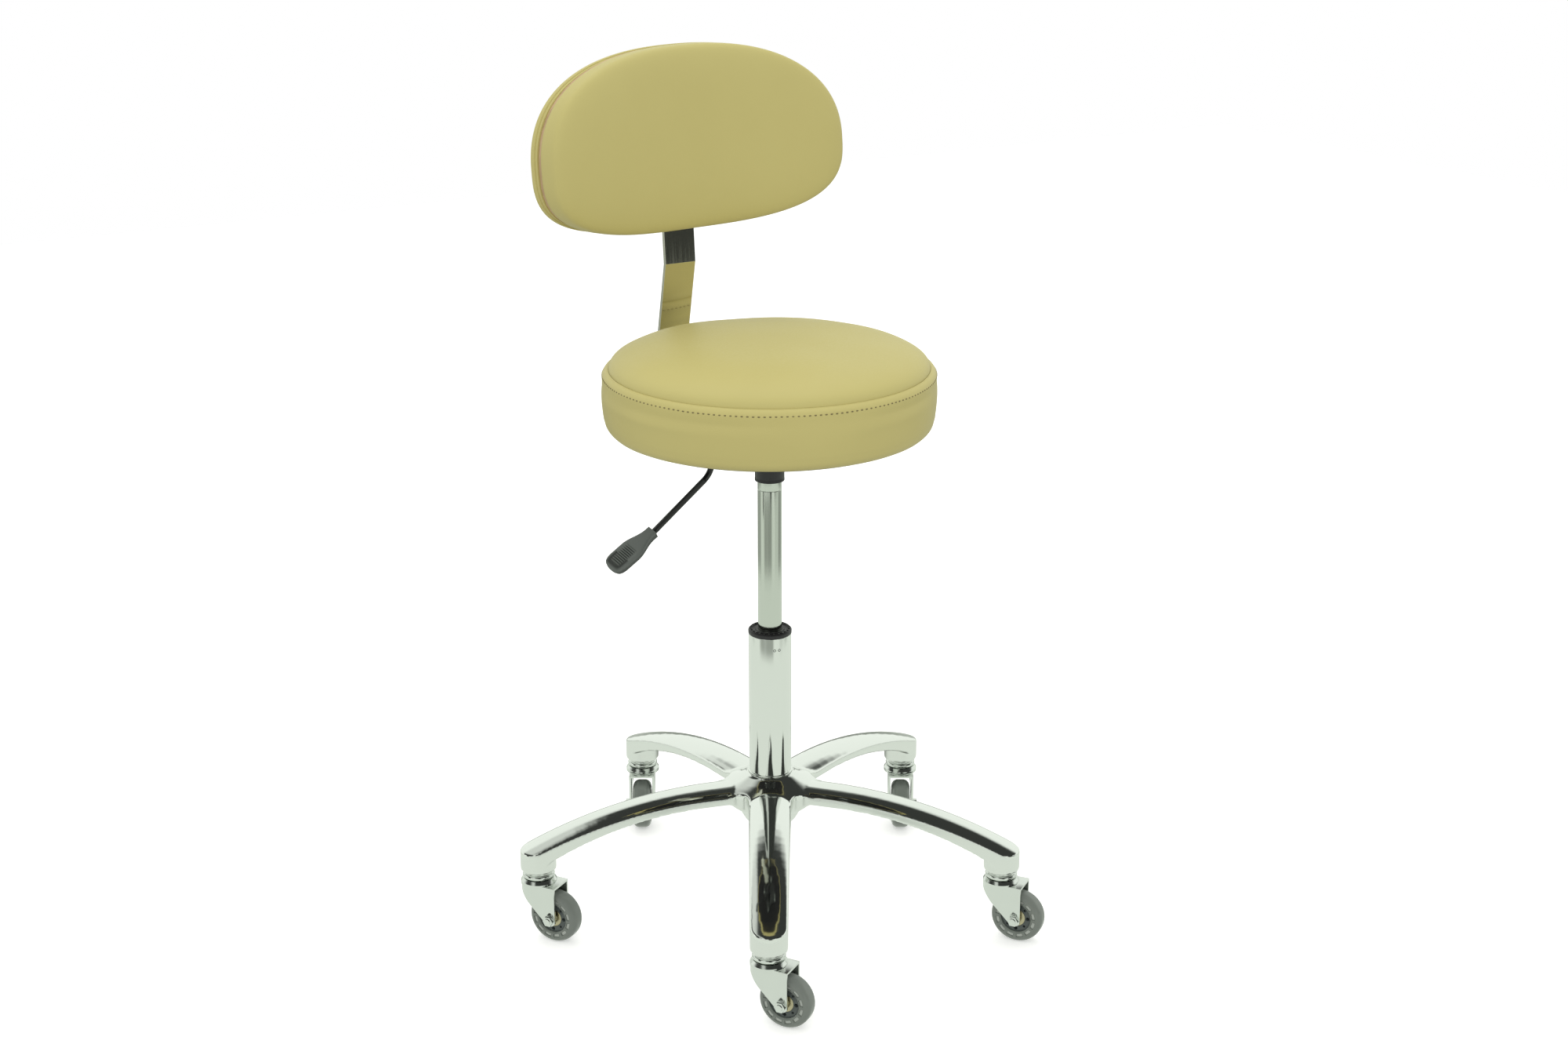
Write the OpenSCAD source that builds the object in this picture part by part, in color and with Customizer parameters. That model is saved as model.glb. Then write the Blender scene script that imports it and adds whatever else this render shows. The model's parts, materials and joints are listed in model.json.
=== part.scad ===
// Pedicure stool: a round padded seat with a lumbar backrest on a flat steel bar,
// carried by a gas lift on a five-arm polished base with five single-wheel castors.
// Millimetres, +Z up, origin on the column axis at floor level.
// The sitter faces -Y, the backrest stands at +Y and the height lever at -X.

/* [Seat] */
// Diameter over the boxing of the cushion
seat_d = 380; // [340:1:420]
// Height of the cushion's underside above the floor, seat fully raised
seat_base_z = 598; // [590:0.5:610]
// Height of the boxing, underside to the piped top seam
boxing_h = 72; // [50:1:80]
// How far the top panel crowns above the seam
seat_crown = 28; // [10:1:35]
// Thickness of the upholstery vinyl
vinyl_t = 1.2; // [0.8:0.1:2]
// Thickness of the plywood seat board
board_t = 12; // [9:1:15]

/* [Backrest] */
// Width of the pad, end to end
pad_w = 391; // [340:1:420]
// Height of the pad above its widest line
pad_up = 124; // [90:1:130]
// Height of the pad below its widest line
pad_down = 88; // [60:1:100]
// Thickness of the front cushion
pad_t = 44; // [30:1:55]
// Thickness of the upholstered rear panel
rear_t = 8; // [5:1:12]
// Radius that the pad is curved to, in plan
pad_bend_r = 600; // [450:10:900]
// Height of the pad's widest line above the floor
pad_z = 883; // [860:1:900]
// Backward lean of the pad and of the bar behind it
pad_lean = 4.3; // [0:0.1:8]
// How far the pad is turned on its bar
pad_roll = 1.6; // [0:0.1:5]
// Width of the flat steel bar
bar_w = 40; // [30:1:50]
// Thickness of the flat steel bar
bar_t = 5; // [4:0.5:6]

/* [Gas lift] */
// Outer diameter of the chromed stand tube
tube_d = 50; // [50:1:50]
// Top of the stand tube
tube_top = 348; // [335:1:355]
// Outer diameter of the sliding cylinder
cyl_d = 28; // [28:1:28]
// Height travel of the seat
travel = 140; // [100:5:140]
// Diameter of the piston rod
rod_d = 10; // [8:1:12]

/* [Base] */
// Radius of the circle that the castor stems stand on
stem_circle_r = 284.8; // [260:0.2:300]
// Half width of an arm beside the hub
arm_half_in = 25.5; // [22:0.5:28]
// Half width of an arm at its round tip
arm_half_out = 20.9; // [18:0.5:24]
// Height of the crown of an arm above its side walls
arm_crown = 11; // [6:1:14]
// Underside of the castor bosses
boss_z = 87; // [84:0.5:90]
// Turn of the base that points one arm past the front left of the seat
base_turn = 240; // [0:1:359]

/* [Castors] */
// Wheel diameter
wheel_d = 62; // [58:1:64]
// Wheel width
wheel_w = 23; // [20:0.5:25]
// Distance of the axle behind the swivel axis
trail = 22.5; // [18:1:26]
// Outer width of the fork
fork_w = 32; // [31:1:36]
// Plate thickness of the fork
fork_t = 2.5; // [2:0.5:3]

/* [Lever] */
// Diameter of the bent lever rod
lever_d = 7; // [6:0.5:8]
// Length of the moulded grip
grip_l = 64; // [55:1:80]
// Width of the moulded grip
grip_w = 31; // [24:1:36]

/* [Hidden] */
CASTORS = 5;

$fn = 96;
run_gap = 0.05;      // radial clearance of every running fit
cut = 1;             // how far a cutter runs past the face it cuts
lap = 0.5;           // how far a straight run reaches into the bend beside it
bend_slack = 0.03;   // a bend is this much thinner, so that no two faces coincide
fine = 240;          // facets of a large arc
bolt_r = 3;          // shank of every screw and bolt
bolt_hole_r = 3.3;   // clearance hole for it in steel

// radius at which a faceted bore clears a round shaft of radius r
function around(r) = (r + 0.01) / cos(180 / $fn);

// castor trail directions, in the order of the arms
TRAILS = [304, 306, 240, 240, 304];

seat_r = seat_d / 2;
seam_r = seat_r - 6;
seam_z = seat_base_z + boxing_h;
board_z = seat_base_z + 1.5;
board_r = seat_r - 9;

tube_r = tube_d / 2;
tube_wall = 2;
tube_foot = 98;
floor_t = 5;
bearing_t = 8;
bush_l = 74;
cyl_r = cyl_d / 2;
cyl_wall = 1.5;
cyl_foot = 262;
cyl_top = 577;
rod_r = rod_d / 2;
piston_z = 284;

socket_z = 535;
socket_r = 17;
housing_z = 567;
plate_t = 3;
plate_z = seat_base_z - plate_t;
lever_z = 586.5;
lever_r = lever_d / 2;
pivot_x = -18;
pin_r = 3;

arm_z = 150;
arm_foot_z = 144.5;
hub_z = 173.5;
hub_foot = 112;
stem_r = 5.5;
stem_l = 20;
swivel_r = 6;
axle_r = 4;
wheel_r = wheel_d / 2;
fork_top = 72;
dish_top = 77;
dish_r = 21;

function arm_angle(n) = base_turn + 72 * (n - 1);
function half_w(r) = arm_half_in + (arm_half_out - arm_half_in) * (r - 45) / (stem_circle_r - 45);

// ---------------------------------------------------------------- base
// an arm runs level out of the hub, then its top and its underside each bend down in an arc
TOP_BEND = [75, 545];    // where the top arc starts, and its radius
UNDER_BEND = [90, 410];  // the same for the underside

// cross-section of the crowned top: height over the arm's edge against the distance from its middle
module crown_section(depth, shrink) {
  steps = 12;
  w = arm_half_in + 0.8;  // the crown is a little wider than the arm, so it meets the sides at an edge
  rotate(-90) polygon(concat([[-w, -depth]],
    [for (i = [0:steps]) let (a = 180 - 180 * i / steps) [w * cos(a), arm_crown * sin(a) - shrink]],
    [[w, -depth]]));
}

module arm_plan() {
  polygon([[0, half_w(0)], [stem_circle_r, arm_half_out], [stem_circle_r, -arm_half_out], [0, -half_w(0)]]);
  translate([stem_circle_r, 0]) circle(r = arm_half_out);
}

// the body under the crowned surface, cut to the arm's plan and hollowed from below by the underside
module arm() {
  depth = 70;
  sweep = 28;
  side = 50;
  boss_h = 18;
  difference() {
    intersection() {
      translate([0, 0, boss_z]) linear_extrude(arm_z + 2 * arm_crown - boss_z) arm_plan();
      union() {
        translate([0, 0, arm_z]) rotate([90, 0, 90]) linear_extrude(TOP_BEND[0] + lap) rotate(90) crown_section(depth, 0);
        translate([TOP_BEND[0], 0, arm_z - TOP_BEND[1]]) rotate([90, 0, 0]) rotate(90 - sweep)
          rotate_extrude(angle = sweep, $fn = fine) translate([TOP_BEND[1], 0]) crown_section(depth, bend_slack);
      }
    }
    translate([UNDER_BEND[0], side, arm_foot_z - UNDER_BEND[1]]) rotate([90, 0, 0])
      cylinder(r = UNDER_BEND[1], h = 2 * side, $fn = fine);
    translate([-cut, -side, 0]) cube([UNDER_BEND[0] + cut, 2 * side, arm_foot_z]);
  }
  // boss that the castor stem is pressed into
  translate([stem_circle_r, 0, boss_z]) cylinder(r = arm_half_out - bend_slack, h = boss_h);
}

// concave corner between two neighbouring arms, along the line halfway between them
module root_corner() {
  half = 180 / CASTORS;
  root_r = 14;
  w = half_w(55) - 0.1;
  along = (w + root_r) / tan(half);
  centre = (w + root_r) / sin(half);
  tip = [along * cos(half) + w * sin(half), along * sin(half) - w * cos(half)];
  difference() {
    polygon([[centre / 3, 0], tip, [tip[0], -tip[1]]]);
    translate([centre, 0]) circle(r = root_r);
  }
}

// the hub swells from the arms up to the ring round the stand tube
module hub_dome() {
  rotate_extrude()
    polygon([[0, hub_foot], [30, hub_foot], [38, hub_foot + 14], [62, arm_foot_z + 0.3], [82, arm_foot_z + 0.3],
             [82, arm_z + 1], [68, arm_z + 4], [56, arm_z + 7.5], [46, arm_z + 11.5], [38, arm_z + 15], [31, arm_z + 19],
             [27.5, hub_z - 2.5], [27, hub_z], [0, hub_z]]);
}

module star_base() {
  wall = 4.5;
  roof = 7;
  channel = [50, stem_circle_r - 28];  // where a channel starts and ends along its arm
  channel_z = 50;
  side = 40;
  core_r = 40;
  root_l = 90;
  shy = 0.1;
  function root_w(r) = half_w(r) - shy;
  color("gainsboro")
  difference() {
    union() {
      for (n = [1:CASTORS]) rotate(arm_angle(n)) arm();
      intersection() {
        hub_dome();
        translate([0, 0, hub_foot - cut]) linear_extrude(hub_z - hub_foot + 2 * cut) {
          circle(r = core_r);
          for (n = [1:CASTORS]) {
            rotate(arm_angle(n))
              polygon([[0, root_w(0)], [root_l, root_w(root_l)], [root_l, -root_w(root_l)], [0, -root_w(0)]]);
            rotate(arm_angle(n) + 180 / CASTORS) root_corner();
          }
        }
      }
    }
    // open channel on the underside of each arm, with the hub and the bosses left solid
    for (n = [1:CASTORS]) rotate(arm_angle(n))
      intersection() {
        translate([0, 0, channel_z]) linear_extrude(arm_z - channel_z + 2 * arm_crown)
          polygon([[channel[0], half_w(channel[0]) - wall], [channel[1], half_w(channel[1]) - wall],
                   [channel[1], wall - half_w(channel[1])], [channel[0], wall - half_w(channel[0])]]);
        union() {
          translate([TOP_BEND[0], side, arm_z - TOP_BEND[1]]) rotate([90, 0, 0])
            cylinder(r = TOP_BEND[1] + arm_crown - roof, h = 2 * side, $fn = fine);
          translate([0, -side, channel_z])
            cube([TOP_BEND[0], 2 * side, arm_z + arm_crown - roof - channel_z - bend_slack]);
        }
      }
    for (n = [1:CASTORS]) rotate(arm_angle(n))
      translate([stem_circle_r, 0, boss_z - cut]) cylinder(r = around(stem_r), h = stem_l + 2 + cut);
    translate([0, 0, hub_foot - cut]) cylinder(r = around(tube_r), h = hub_z - hub_foot + 2 * cut);
  }
}

// ---------------------------------------------------------------- gas lift
module stand_tube() {
  color("silver") difference() {
    translate([0, 0, tube_foot]) cylinder(r = tube_r, h = tube_top - tube_foot);
    translate([0, 0, tube_foot - cut]) cylinder(r = tube_r - tube_wall, h = tube_top - tube_foot + 2 * cut);
  }
}

module tube_floor() {
  color("dimgray") difference() {
    translate([0, 0, tube_foot]) cylinder(r = tube_r - tube_wall, h = floor_t);
    translate([0, 0, tube_foot - cut]) cylinder(r = rod_r + run_gap, h = floor_t + 2 * cut);
  }
}

module guide_bush() {
  flange = 6;
  teeth = 24;
  color("black") difference() {
    union() {
      translate([0, 0, tube_top - bush_l]) cylinder(r = tube_r - tube_wall, h = bush_l);
      translate([0, 0, tube_top]) cylinder(r = tube_r + 0.5, h = flange);
    }
    translate([0, 0, tube_top - bush_l - cut]) cylinder(r = cyl_r + run_gap, h = bush_l + flange + 2 * cut);
    // ring of shallow slots round the top face
    for (i = [0:teeth - 1]) rotate(i * 360 / teeth)
      translate([tube_r - 3.2, -1.8, tube_top + flange - 1.2]) cube([1.3, 3.6, 2]);
  }
}

// ball thrust bearing on the tube floor: two washers, a cage and its balls
module thrust_bearing() {
  washer = 2;
  ball_r = 2.2;
  z = tube_foot + floor_t;
  color("lightsteelblue") {
    for (level = [z, z + bearing_t - washer]) translate([0, 0, level]) difference() {
      cylinder(r = 13, h = washer);
      translate([0, 0, -cut]) cylinder(r = rod_r + run_gap, h = washer + 2 * cut);
    }
    for (i = [0:8]) rotate(i * 40) translate([9, 0, z + bearing_t / 2]) sphere(r = ball_r, $fn = 24);
  }
}

module bump_stop() {
  z = tube_foot + floor_t + bearing_t + 4;
  color("darkslategray") difference() {
    translate([0, 0, z]) cylinder(r = 12, h = 6);
    translate([0, 0, z - cut]) cylinder(r = rod_r, h = 6 + 2 * cut);
  }
}

module piston_rod() {
  foot = tube_foot - 5;
  shoulder = tube_foot + floor_t + bearing_t;
  color("silver") {
    translate([0, 0, foot]) cylinder(r = rod_r, h = piston_z - foot + 14);
    translate([0, 0, shoulder]) cylinder(r = 9, h = 4);
  }
}

module piston() {
  color("darkslategray") difference() {
    translate([0, 0, piston_z]) cylinder(r = cyl_r - cyl_wall - run_gap, h = 14);
    translate([0, 0, piston_z - cut]) cylinder(r = rod_r, h = 14 + 2 * cut);
  }
}

module rod_clip() {
  color("dimgray") difference() {
    translate([0, 0, tube_foot - 2.5]) cylinder(r = 9, h = 2.2);
    translate([0, 0, tube_foot - 2.5 - cut]) cylinder(r = rod_r, h = 2.2 + 2 * cut);
  }
}

module gas_cylinder() {
  cap = 12;
  color("lightgray") difference() {
    translate([0, 0, cyl_foot]) cylinder(r = cyl_r, h = cyl_top - cyl_foot);
    translate([0, 0, cyl_foot - cut]) cylinder(r = cyl_r - cyl_wall, h = cyl_top - cap - cyl_foot + cut);
    translate([0, 0, cyl_top - cap - cut]) cylinder(r = pin_r + run_gap, h = cap + 2 * cut);
    // thin turned groove where the ground taper ends
    translate([0, 0, socket_z - 11]) difference() {
      cylinder(r = cyl_r + cut, h = 0.6);
      translate([0, 0, -cut]) cylinder(r = cyl_r - 0.2, h = 3);
    }
  }
}

// rod guide and seal that close the lower end of the cylinder
module cylinder_end() {
  color("dimgray") difference() {
    translate([0, 0, cyl_foot]) cylinder(r = cyl_r - cyl_wall, h = 14);
    translate([0, 0, cyl_foot - cut]) cylinder(r = rod_r + run_gap, h = 14 + 2 * cut);
  }
}

module release_pin() {
  top = lever_z - lever_r - 0.4;
  dome = 6;
  color("silver") intersection() {
    translate([0, 0, cyl_top - 16]) cylinder(r = pin_r, h = top - cyl_top + 16);
    union() {
      translate([0, 0, top - dome]) sphere(r = dome);
      translate([0, 0, cyl_top - 16]) cylinder(r = pin_r, h = top - 2 - cyl_top + 16);
    }
  }
}

// ---------------------------------------------------------------- seat mechanism
module valve_socket() {
  house = [44, 34, plate_z - housing_z];
  color("black") difference() {
    union() {
      translate([0, 0, socket_z]) cylinder(r = socket_r, h = housing_z - socket_z);
      translate([-26, -house[1] / 2, housing_z]) cube(house);
    }
    translate([0, 0, socket_z - cut]) cylinder(r = cyl_r, h = cyl_top - socket_z + cut);
    translate([-21, -11, cyl_top]) cube([34, 22, plate_z - cyl_top + cut]);
    // slot that lets the lever out
    translate([-40, -lever_r - 0.8, lever_z - lever_r - 1.5]) cube([30, lever_d + 1.6, lever_d + 4]);
    translate([pivot_x, 30, lever_z]) rotate([90, 0, 0]) cylinder(r = 2, h = 60);
  }
}

PLATE_HOLES = [for (x = [-55, 55]) for (y = [-62, 38]) [x, y]];

module seat_plate() {
  lip = 8;
  size = [140, 124];
  middle = -12;
  color("dimgray") difference() {
    union() {
      translate([-size[0] / 2, middle - size[1] / 2, plate_z]) cube([size[0], size[1], plate_t]);
      // stiffening lips folded down at the front and the back
      for (y = [middle - size[1] / 2, middle + size[1] / 2 - 2.5])
        translate([-size[0] / 2 + 12, y, plate_z - lip]) cube([size[0] - 24, 2.5, lip]);
    }
    for (at = PLATE_HOLES) translate([at[0], at[1], plate_z - cut]) cylinder(r = bolt_hole_r, h = plate_t + 2 * cut);
  }
}

module screw(length, shank_r, head_r, head_h) {
  translate([0, 0, -head_h]) difference() {
    cylinder(r = head_r, h = head_h);
    translate([0, 0, -cut]) cylinder(r = head_r * 0.45, h = cut + head_h * 0.6, $fn = 6);
  }
  cylinder(r = shank_r, h = length);
}

module plate_screws() {
  color("silver") for (at = PLATE_HOLES) translate([at[0], at[1], plate_z]) screw(plate_t + 11, bolt_r, 6, 3.2);
}

module lever_pivot_pin() {
  color("silver") translate([pivot_x, 17, lever_z]) rotate([90, 0, 0]) cylinder(r = 2, h = 34);
}

// the bent rod as straight runs and bends in the XZ plane, [run, bend radius, bend angle]
LEVER_PATH = [[59.5, 16, 72], [15, 30, -34], [104, 0, 0]];

// one run and its bend after another; a positive bend turns down, a negative one back up
// the runs reach a little into the bends, which are a hair thinner
module lever_run(steps, i = 0) {
  if (i < len(steps)) {
    run = steps[i][0];
    bend_r = steps[i][1];
    turn = steps[i][2];
    side = turn > 0 ? -1 : 1;
    before = i > 0 ? lap : 0;
    translate([before, 0, 0]) rotate([0, -90, 0])
      cylinder(r = lever_r, h = before + run + (turn == 0 ? 0 : lap));
    if (turn != 0) translate([-run, 0, 0]) {
      translate([0, 0, side * bend_r]) rotate([90, 0, 0]) rotate(turn > 0 ? 90 : -90 + turn)
        rotate_extrude(angle = abs(turn)) translate([bend_r, 0]) circle(r = lever_r - bend_slack);
      translate([-bend_r * sin(abs(turn)), 0, side * bend_r * (1 - cos(turn))])
        rotate([0, -turn, 0]) lever_run(steps, i + 1);
    }
  }
}

module lever_rod() {
  color("black") difference() {
    union() {
      translate([3.5, 0, lever_z]) lever_run(LEVER_PATH);
      // flattened eye that the pivot pin passes through
      translate([pivot_x, lever_r + 0.3, lever_z]) rotate([90, 0, 0]) cylinder(r = 4.6, h = lever_d + 0.6);
    }
    translate([pivot_x, 20, lever_z]) rotate([90, 0, 0]) cylinder(r = 2 + run_gap, h = 40);
  }
}

GRIP_AT = [-150, 0, 497];
GRIP_DROP = 33;
GRIP_ROLL = 18;

// moulded paddle: a socket end that widens to a round thumb pad with a ribbed hollow,
// rolled a little on its rod towards the front of the seat
module lever_grip() {
  thick = 10;
  facets = 32;
  middle = 17 - grip_l;
  socket_w = 15;
  rib = [1.4, 16, 3];
  pitch = 2.8;
  ribs = 9;
  color("dimgray") difference() {
    translate(GRIP_AT) rotate([0, -GRIP_DROP, 0]) rotate([GRIP_ROLL, 0, 0]) difference() {
      hull() {
        translate([0, -socket_w / 2, -thick / 2]) cube([1, socket_w, thick]);
        translate([middle, 0, 1 - thick / 2]) cylinder(r = grip_w / 2, h = thick - 2, $fn = facets);
        translate([middle, 0, -thick / 2]) cylinder(r = grip_w / 2 - 2, h = thick, $fn = facets);
        translate([middle - 6, 0, -thick / 2]) cylinder(r = grip_w / 2 - 4, h = thick - 1, $fn = facets);
      }
      for (i = [0:ribs - 1]) translate([middle - 8 + pitch * i, -rib[1] / 2, thick / 2 - 1.2]) cube(rib);
    }
    translate([3.5, 0, lever_z]) lever_run(LEVER_PATH);
  }
}

// ---------------------------------------------------------------- seat
// drilled right through; the lower edge is bevelled where the cover turns under
module seat_board() {
  bevel = [5, 3.5];
  color("burlywood") difference() {
    union() {
      translate([0, 0, board_z]) cylinder(r1 = board_r - bevel[0], r2 = board_r, h = bevel[1]);
      translate([0, 0, board_z + bevel[1]]) cylinder(r = board_r, h = board_t - bevel[1]);
    }
    seat_screw_holes(board_z - cut, board_t + 2 * cut);
  }
}

module seat_screw_holes(z, h) {
  for (at = PLATE_HOLES) translate([at[0], at[1], z]) cylinder(r = bolt_r, h = h);
  for (y = BAR_HOLES) translate([0, y, z]) cylinder(r = bolt_r, h = h);
}

// outline of the cushion in section, moved in by skin on every side
module cushion_section(skin) {
  steps = 16;
  polygon(concat(
    [[0, seat_base_z + skin], [seat_r - 12 - skin, seat_base_z + skin],
     [seat_r - 3.5 - skin, seat_base_z + 3.5 + skin], [seat_r - skin, seat_base_z + 12],
     [seat_r - skin, seam_z - 12], [seat_r - 1.5 - skin, seam_z - 6]],
    // the top panel swells steeply from the seam and flattens towards the middle
    [for (i = [0:steps]) let (a = 90 * i / steps)
      [(seam_r - skin) * sqrt(cos(a)), seam_z + (seat_crown - skin) * sin(a)]]));
}

module seat_foam() {
  color("khaki") difference() {
    rotate_extrude() cushion_section(vinyl_t);
    translate([0, 0, seat_base_z - cut]) cylinder(r = board_r, h = board_z + board_t - seat_base_z + cut);
  }
}

turn_in = 26;        // how far the cover is folded in under the seat
module seat_cover() {
  color("darkkhaki") difference() {
    rotate_extrude() cushion_section(0);
    rotate_extrude() cushion_section(vinyl_t);
    translate([0, 0, seat_base_z - cut]) cylinder(r = board_r - turn_in, h = vinyl_t + 2 * cut);
  }
}

module dust_cover() {
  color("black") difference() {
    translate([0, 0, seat_base_z]) cylinder(r = board_r - turn_in, h = board_z - seat_base_z);
    seat_screw_holes(seat_base_z - cut, board_z - seat_base_z + 2 * cut);
  }
}

// ---------------------------------------------------------------- backrest
BAR_HOLES = [76, 112, 148];
bar_bend_z = 748;
bar_bend_y = 214;
bar_foot_lean = 12.3;
bar_top_z = 930;
knee_r = 22;

// front face of the bar at height z, above and below its sharp bend
function bar_y(z) = bar_bend_y + (z > bar_bend_z
  ? (z - bar_bend_z) * tan(pad_lean) : (bar_bend_z - z) * tan(bar_foot_lean));

// side view of the bar in the YZ plane: a flat foot, a round knee and two straight legs
module bar_side() {
  foot_end = 62;
  // the knee's centre lies a bend radius above the foot and in front of the lower leg
  centre_z = seat_base_z + knee_r;
  centre_y = bar_y(centre_z) - knee_r / cos(bar_foot_lean);
  steps = 16;
  function knee(i, r) = let (a = (90 + bar_foot_lean) * i / steps - 90)
    [centre_y + r * cos(a), centre_z + r * sin(a)];
  polygon(concat(
    [[foot_end, seat_base_z]],
    [for (i = [0:steps]) knee(i, knee_r)],
    [[bar_bend_y, bar_bend_z], [bar_y(bar_top_z), bar_top_z],
     [bar_y(bar_top_z) + bar_t / cos(pad_lean), bar_top_z],
     [bar_bend_y + bar_t, bar_bend_z]],
    [for (i = [steps:-1:0]) knee(i, knee_r + bar_t)],
    [[foot_end, seat_base_z - bar_t]]));
}

module backrest_bar() {
  color("silver") difference() {
    rotate([90, 0, 90]) translate([0, 0, -bar_w / 2]) linear_extrude(bar_w) bar_side();
    for (y = BAR_HOLES) translate([0, y, seat_base_z - bar_t - cut]) cylinder(r = bolt_hole_r, h = bar_t + 2 * cut);
    for (h = PAD_BOLTS) on_pad() translate([0, rear_face - 2, h]) rotate([-90, 0, 0]) cylinder(r = bolt_hole_r, h = 20);
  }
}

module bar_screws() {
  color("silver") for (y = BAR_HOLES) translate([0, y, seat_base_z - bar_t]) screw(bar_t + 11, bolt_r, 6, 3.2);
}

// the pad's own frame: origin at the middle of its thickness on its widest line
pad_y = 194;
rear_face = pad_t / 2 + rear_t;
PAD_BOLTS = [-40, -5, 30];
module on_pad() { translate([0, pad_y, pad_z]) rotate([-pad_lean, 0, 0]) children(); }

// outline of the pad, wide and round above and squarer below, moved in by skin
function lobe(t, n) = sign(t) * pow(abs(t), 2 / n);
module pad_outline(skin) {
  steps = 60;
  polygon([for (i = [0:steps - 1]) let (a = 360 * i / steps, up = sin(a) >= 0,
      n = up ? 2.3 : 2.9, h = (up ? pad_up : pad_down) - skin)
    [(pad_w / 2 - skin) * lobe(cos(a), n), h * lobe(sin(a), n)]]);
}

// a layer of the pad between two depths, bent round an upright axis in front of it
module pad_layer(from, to, skin) {
  reach = 160;
  on_pad() intersection() {
    rotate([90, 0, 0]) rotate(pad_roll) translate([0, 0, -reach / 2]) linear_extrude(reach) pad_outline(skin);
    translate([0, -pad_bend_r, 0]) difference() {
      translate([0, 0, -reach]) cylinder(r = pad_bend_r + to, h = 2 * reach);
      translate([0, 0, -reach - cut]) cylinder(r = pad_bend_r + from, h = 2 * reach + 2 * cut);
    }
  }
}

// the round front edge of the cushion as layers, [depth it starts at, inset]
PAD_EDGE = [[-pad_t / 2, 10], [5 - pad_t / 2, 4.5], [11 - pad_t / 2, 1.3], [20 - pad_t / 2, 0]];
module cushion_layers(skin, back) {
  for (i = [0:len(PAD_EDGE) - 1])
    pad_layer(PAD_EDGE[i][0] + skin, i + 1 < len(PAD_EDGE) ? PAD_EDGE[i + 1][0] + skin : back, PAD_EDGE[i][1] + skin);
}

board_front = pad_t / 2 - vinyl_t - 9;

module pad_bolt_holes(r) {
  for (h = PAD_BOLTS) on_pad() translate([0, board_front - cut, h]) rotate([-90, 0, 0]) cylinder(r = r, h = 60);
}

module backrest_foam() {
  color("khaki") cushion_layers(vinyl_t, board_front);
}

module backrest_board() {
  color("burlywood") difference() {
    pad_layer(board_front, pad_t / 2 - vinyl_t, vinyl_t);
    pad_bolt_holes(bolt_r);
  }
}

module backrest_cover() {
  color("darkkhaki") difference() {
    cushion_layers(0, pad_t / 2);
    cushion_layers(vinyl_t, pad_t / 2 - vinyl_t);
    pad_bolt_holes(bolt_r);
  }
}

module backrest_rear_panel() {
  color("darkkhaki") difference() {
    pad_layer(pad_t / 2, pad_t / 2 + rear_t, 1);
    pad_bolt_holes(bolt_r);
  }
}

module backrest_bolts() {
  color("silver") for (h = PAD_BOLTS)
    on_pad() translate([0, rear_face + bar_t + 0.2, h]) rotate([90, 0, 0]) screw(bar_t + rear_t + 8, bolt_r, 6.5, 3.4);
}

// ---------------------------------------------------------------- castors
// moves a castor, drawn with its swivel axis on Z and its axle at +X, to arm n
module at_castor(n) {
  a = arm_angle(n);
  translate([stem_circle_r * cos(a), stem_circle_r * sin(a), 0]) rotate(TRAILS[n - 1]) children();
}

module castor_stem(n) {
  color("silver") at_castor(n) {
    translate([0, 0, dish_top + 0.6]) cylinder(r1 = 17.6, r2 = 18.6, h = 3);
    translate([0, 0, dish_top + 3.6]) cylinder(r1 = 18.6, r2 = 17, h = boss_z - dish_top - 3.6);
    translate([0, 0, boss_z]) cylinder(r = stem_r, h = stem_l);
    translate([0, 0, fork_top - 5]) cylinder(r = swivel_r, h = dish_top - fork_top + 6);
    translate([0, 0, fork_top - fork_t - 3.3]) cylinder(r = 9, h = 3);
  }
}

// pressed fork: side plates and a round leading wall, cut back towards the axle
module castor_fork(n) {
  nose = dish_r - fork_w / 2;
  back = trail + 7;
  top = fork_top;
  inside = fork_w / 2 - fork_t;
  color("gainsboro") at_castor(n) difference() {
    union() {
      intersection() {
        union() {
          translate([-nose, 0, 0]) cylinder(r = fork_w / 2, h = top);
          translate([-nose, -fork_w / 2, 0]) cube([back + nose, fork_w, top]);
        }
        // side view of the plates
        rotate([90, 0, 0]) translate([0, 0, -40]) linear_extrude(80) union() {
          polygon([[-25, top], [-21, top - 8], [-14, top - 15], [-5, top - 25], [4, top - 34],
                   [trail - 5.6, wheel_r - 5.7], [back, wheel_r - 1], [back, top]]);
          translate([trail, wheel_r]) circle(r = 8);
        }
      }
      translate([0, 0, top - fork_t]) cylinder(r = dish_r, h = fork_t + 1.6);
      translate([0, 0, top + 1.6]) cylinder(r1 = dish_r, r2 = dish_r - 2.5, h = dish_top - top - 1.6);
    }
    // the room for the wheel, open at the back and below
    translate([-nose, 0, -cut]) cylinder(r = inside, h = top - fork_t + cut);
    translate([-nose, -inside, -cut]) cube([back + nose + cut, 2 * inside, top - fork_t + cut]);
    translate([0, 0, top - fork_t - cut]) cylinder(r = swivel_r + run_gap, h = 20);
    translate([trail, 30, wheel_r]) rotate([90, 0, 0]) cylinder(r = axle_r, h = 60);
  }
}

// axle bolt with a hexagon nut at each end of the fork
module castor_axle(n) {
  half = fork_w / 2;
  color("silver") at_castor(n) translate([trail, 0, wheel_r]) rotate([90, 0, 0]) {
    translate([0, 0, -half - 5]) cylinder(r = axle_r, h = 2 * half + 11.5);
    translate([0, 0, half]) cylinder(r = 6.6, h = 5, $fn = 6);
    translate([0, 0, -half - 5]) cylinder(r = 6.6, h = 5, $fn = 6);
  }
}

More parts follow.
